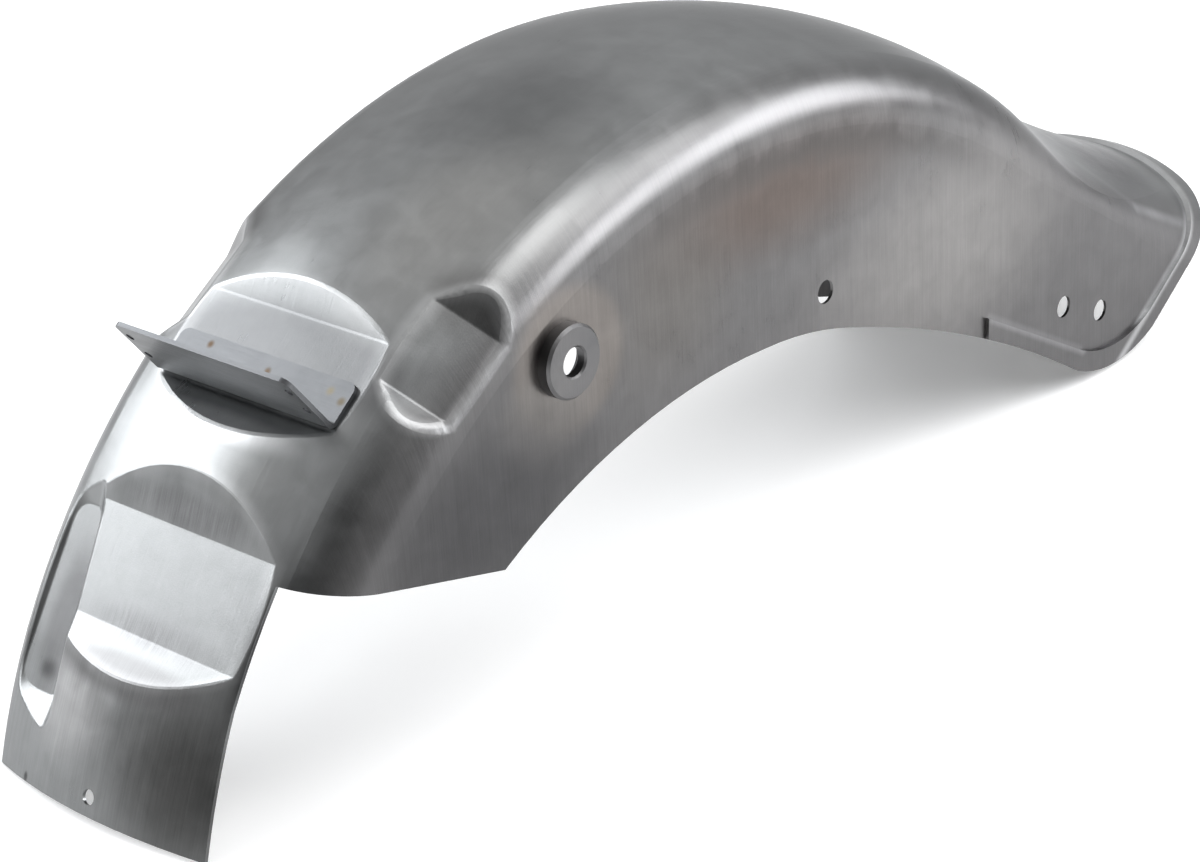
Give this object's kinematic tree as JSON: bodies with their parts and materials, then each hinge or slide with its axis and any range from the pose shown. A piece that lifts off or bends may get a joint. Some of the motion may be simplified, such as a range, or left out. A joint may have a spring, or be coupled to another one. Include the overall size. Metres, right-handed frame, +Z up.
{
  "type": "motorcycle rear fender",
  "caption": "Bobbed steel rear motorcycle fender with pressed flat seats, a cross bracket, weld-on side bosses and a kicked-up ducktail.",
  "frame": {"origin": "centre of the bounding box at the floor that the apron's foot and the skirts' heels stand on", "axes": "+X towards the tail along the length, +Y across to the far skirt, +Z up"},
  "size_m": [0.7259, 0.178, 0.2375],
  "materials": {
    "shell_steel": "bare satin pressed steel, ground and brushed in places",
    "bracket_steel": "bare rolled sheet steel with small spot-weld marks",
    "boss_steel": "bare turned steel"
  },
  "bodies": {
    "root": {"fender_shell": "shell_steel", "cross_bracket": "bracket_steel", "boss_left": "boss_steel", "boss_right": "boss_steel"}
  },
  "joints": []
}
